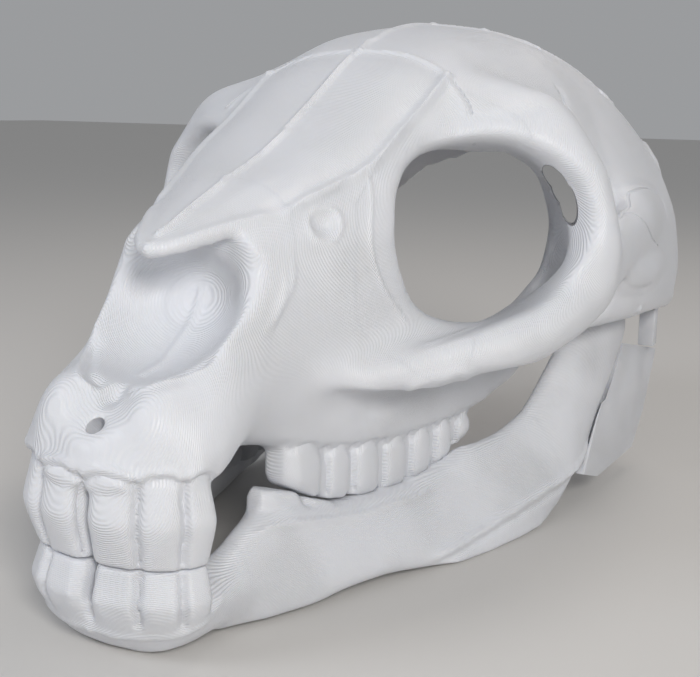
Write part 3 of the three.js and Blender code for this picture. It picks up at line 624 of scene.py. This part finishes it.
# Crisp hollows: the hole above the incisors, and on each side the dimple in the cheek, the crescent slit
# between the inner wall of the eye socket and the bar behind it, and the seat of the screw in the rim.
# Each is an oval: centre, half size, direction of the first axis, and degrees of turn about it.
HOLLOWS = [((6, 0, 69.5), (12, 3, 3), (-1, 0, 0.75), 0)]
for side in SIDES.values():
    to_slit = (0.938, side * -0.341, -0.069)
    HOLLOWS += [
        ((73.6, side * 38.4, 125.8), (5.4, 6, 4.8), (1, 0, 0.35), 0),
        ((184.4, side * 69.9, 135.2), (46, 3.3, 8), to_slit, side * 44),
        ((185, side * 72.2, 131), (46, 3.6, 8.5), to_slit, side * 28),
        ((185.5, side * 74.8, 126.4), (46, 3.7, 9.5), to_slit, side * 14),
        ((298, side * 87.5, 81), (7, 2.6, 2.6), (0.35, side, 0), 0),
    ]
for hollow in HOLLOWS:
    cut_with(upper, oval(*hollow), "DIFFERENCE")

# Fine lines cut into the skin, with their radii: the rim of the round joint behind the eye, the seam
# across it, the fold of the temple and the crack in the brow. The line over the ear is a raised bead.
FINE_LINES = ((DISC_EDGE, 0.75), (DISC_SEAM, 0.6), (TEMPLE_LINE, 0.6), (BROW_CRACK, 0.6))
NUCHAL_RADIUS = 1.1
END_RISE = 1.2  # how far a line's ends leave the skin, as a share of its radius
for side in SIDES.values():
    for line, radius in FINE_LINES:
        cut_with(upper, cord(skin, mirrored(line, side), radius, END_RISE * radius), "DIFFERENCE")
    bead = cord(skin, mirrored(NUCHAL_LINE, side), NUCHAL_RADIUS, -END_RISE * NUCHAL_RADIUS)
    cut_with(upper, bead, "UNION")

bones = []
for name, side in SIDES.items():
    for bone, (outline, inner, outer) in SIDE_BONES.items():
        tool = slab(outline, ACROSS, side * inner, side * outer)
        bones.append(take_out(upper, tool, f"{bone}_{name}"))
bones.append(take_out(upper, leaning(*PREMAXILLA_END), "premaxilla"))
nose = slab(NASAL_PLAN + [(a, -b) for a, b in NASAL_PLAN[:0:-1]], UP, start=100, end=250)
cut_with(nose, slab(NASAL_SIDE, ACROSS, start=-60, end=60), "INTERSECT")
bones.append(take_out(upper, nose, "nasal_bones"))
face = leaning(*MAXILLA_END)
cut_with(face, slab(PALATE[0], ACROSS, *PALATE[1:]), "UNION")
jaws = take_out(upper, face, "maxilla")
frontals = take_out(upper, leaning(*FRONTAL_END), "frontal")
bones += halved(jaws, "maxilla") + halved(frontals, "frontal") + halved(upper, "parietal")

# ---- Printed plastic ----
# Cool white PLA straight off the printer, semi-gloss. It was laid down in layers about 0.25 mm thick,
# which show as fine lines that turn into rings where the surface faces the way the print grew.
LAYER = 0.0005  # m between lines, drawn a little coarser than the real layers so that they show
WANDER = 0.9  # how far the lines wander, as a share of a layer
RELIEF = 0.0001  # m, the height of lines and grain


def printed_plastic(name, grow_along):
    """PLA whose layers lie square to the direction in which the print grew."""
    material, tree, output = new_material(name)
    where = add_node(tree, "ShaderNodeTexCoord")
    here = {"Vector": where.outputs["Object"]}
    height = add_node(tree, "ShaderNodeVectorMath", {"operation": "DOT_PRODUCT", 1: grow_along},
                      {0: where.outputs["Object"]})
    wander = add_node(tree, "ShaderNodeTexNoise", {"Scale": 60, "Detail": 3}, here)
    shift = add_node(tree, "ShaderNodeMath", {"operation": "MULTIPLY", 1: LAYER * WANDER},
                     {0: wander.outputs["Fac"]})
    level = add_node(tree, "ShaderNodeMath", {"operation": "ADD"},
                     {0: height.outputs["Value"], 1: shift.outputs[0]})
    turns = add_node(tree, "ShaderNodeMath", {"operation": "MULTIPLY", 1: 2 * math.pi / LAYER},
                     {0: level.outputs[0]})
    line = add_node(tree, "ShaderNodeMath", {"operation": "SINE"}, {0: turns.outputs[0]})
    grain = add_node(tree, "ShaderNodeTexNoise", {"Scale": 900, "Detail": 2}, here)
    patches = add_node(tree, "ShaderNodeTexNoise", {"Scale": 38, "Detail": 2}, here)
    strength = add_node(tree, "ShaderNodeMapRange",
                        {"From Min": 0.35, "From Max": 0.65, "To Min": 0.3, "To Max": 1.0},
                        {"Value": patches.outputs["Fac"]})
    lines = add_node(tree, "ShaderNodeMath", {"operation": "MULTIPLY"},
                     {0: line.outputs[0], 1: strength.outputs[0]})
    relief = add_node(tree, "ShaderNodeBump", {"Strength": 0.9, "Distance": RELIEF},
                      {"Height": lines.outputs[0]})
    fine = add_node(tree, "ShaderNodeBump", {"Strength": 0.3, "Distance": RELIEF},
                    {"Height": grain.outputs["Fac"], "Normal": relief.outputs["Normal"]})
    colour = add_node(tree, "ShaderNodeMix",
                      {"data_type": "RGBA", 6: linear("#dcdee4"), 7: linear("#e6e8ec")},
                      {0: patches.outputs["Fac"]})
    sheen = add_node(tree, "ShaderNodeMapRange", {"To Min": 0.3, "To Max": 0.44},
                     {"Value": patches.outputs["Fac"]})
    surface = add_node(
        tree,
        "ShaderNodeBsdfPrincipled",
        {"IOR": 1.46, "Subsurface Weight": 0.12, "Subsurface Radius": (0.0030, 0.0024, 0.0018),
         "Subsurface Scale": 1.0},
        {"Base Color": colour.outputs[2], "Roughness": sheen.outputs[0], "Normal": fine.outputs["Normal"]},
    )
    tree.links.new(surface.outputs["BSDF"], output.inputs["Surface"])
    return material


def finish_print(piece, material):
    """Gives a print its plastic, smooth faces with sharp cut edges and its body, and hides the CAD node that
    it shows.
    """
    mesh = piece.data
    mesh.materials.clear()
    mesh.materials.append(material)
    mesh.shade_smooth()
    mesh.set_sharp_from_angle(angle=math.radians(SHARP_ANGLE))
    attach(piece, "root")
    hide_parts(piece.name[4:])


skull_plastic = printed_plastic("white_pla_skull", (-0.91, 0, 0.41))
for bone in bones:
    finish_print(bone, skull_plastic)

# ---- Lower jaw ----
# The lower jaw is its own print in the same plastic, open between its two sides behind the chin. A
# scalloped rim stands round its teeth and a raised ridge runs along the angle of the jaw.
LOWER_BONES = ["mandible_front"] + [f"{bone}_{side}" for bone in ("mandible", "ramus") for side in SIDES]
JAW_RIDGE = [(108, -60, 4), (122, -64, 8), (136, -67, 10), (175, -73, 14), (211, -78, 19), (222, -78, 28)]
SOCKET_RIM = [(43, -31, 33), (48, -33, 34), (58, -36, 33), (73, -39, 30.5), (93, -43, 28), (109, -46, 27),
              (123, -49, 27), (132, -51, 29.5)]
CHIN_RIM = [(29, -31.5, 20), (22, -31, 14), (14, -28.5, 10.5), (7, -20, 9), (3, -10, 8), (1.5, 0, 7.5)]
JAW_FORMS = [
    (JAW_RIDGE, 1.7, 1.6, (0.12, 0.08)),
    (shifted(JAW_RIDGE, 0, 0, -3.2), -0.9, 1.4, (0.12, 0.08)),
    (SOCKET_RIM, 1.0, 1.3),
    (CHIN_RIM, 0.7, 1.4, (0.1, 0)),
]
TEETH_FROM = ((50, 24), (60, 23), (120, 22), (150, 25), (160, 32))
LOWER_GROOVE = (29, 24, 18, 12)
FLOOR_MARGIN = (2, 0.05)
CHIN_END = (40, 10, 8)
MANDIBLE_END = (195, 25, -10)

lower = merged_copy("lower_jaw", LOWER_BONES)
remesh(lower)
x, y, z = places(lower.data).T
teeth_from = np.interp(x, *zip(*TEETH_FROM))
at_teeth = ramp(z, teeth_from, teeth_from + 4) * ramp(x, 50, 56) * (1 - ramp(x, 158, 164))
at_teeth *= 1 - ramp(abs(y), 56, 60)
reach = np.full(len(x), 4.2)
for limit in (
    0.9 + 3.6 * np.maximum(1 - ramp(z, 10, 16), ramp(x, 28, 38)),
    4.2 - 3.3 * at_teeth,
    0.6 + 4 * ramp(z, 0.2, 6),
):
    reach = np.minimum(reach, limit)
smooth(lower, reach, rounds=110)

skin = Skin(lower)
for side in SIDES.values():
    skin.shape(JAW_FORMS, side)
    for k, start in enumerate(INCISOR_ENDS[:3]):
        if k or side < 0:
            groove = [incisor_arch(start, height, share=0.97) for height in LOWER_GROOVE]
            skin.shape([(groove, -1.8, 1.1, SHARP_ENDS)], side)
skin.hold(BACK, *FRONT_MARGIN)
skin.hold(UP, *FLOOR_MARGIN)
skin.settle()

jaw_plastic = printed_plastic("white_pla_jaw", (-0.12, 0, 0.99))
jaw_bones = [take_out(lower, leaning(*CHIN_END), "mandible_front")]
bodies = take_out(lower, leaning(*MANDIBLE_END), "mandible")
jaw_bones += halved(bodies, "mandible") + halved(lower, "ramus")
for bone in jaw_bones:
    finish_print(bone, jaw_plastic)

# ---- Plates and posts at the angle of the jaw ----
# Thin flat plates that carry the jaw's angle back, and short square posts that hold them to the rim of the
# dome. They are printed flat, so their faces are smooth and their edges are only just broken.
for name in SIDES:
    for node in ("jaw_angle_plate", "jaw_post"):
        plate = merged_copy(f"{PREFIX}{node}_{name}", [f"{node}_{name}"], 0)
        edge = plate.modifiers.new("edge", "BEVEL")
        edge.width = 0.0006
        edge.segments = 3
        edge.angle_limit = math.radians(40)
        settle(plate)
        finish_print(plate, jaw_plastic)

# ---- Screws in the rim ----
# Small dark steel screws, sunk in the plastic of the rim.
steel, tree, output = new_material("dark_steel")
where = add_node(tree, "ShaderNodeTexCoord")
scuff = add_node(tree, "ShaderNodeTexNoise", {"Scale": 1500, "Detail": 3},
                 {"Vector": where.outputs["Object"]})
rough = add_node(tree, "ShaderNodeMapRange", {"To Min": 0.3, "To Max": 0.5}, {"Value": scuff.outputs["Fac"]})
surface = add_node(tree, "ShaderNodeBsdfPrincipled", {"Base Color": linear("#3b3c3f"), "Metallic": 1.0},
                   {"Roughness": rough.outputs[0]})
tree.links.new(surface.outputs["BSDF"], output.inputs["Surface"])
for name in SIDES:
    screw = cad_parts[f"rim_screw_{name}"]
    screw.data.materials.clear()
    screw.data.materials.append(steel)
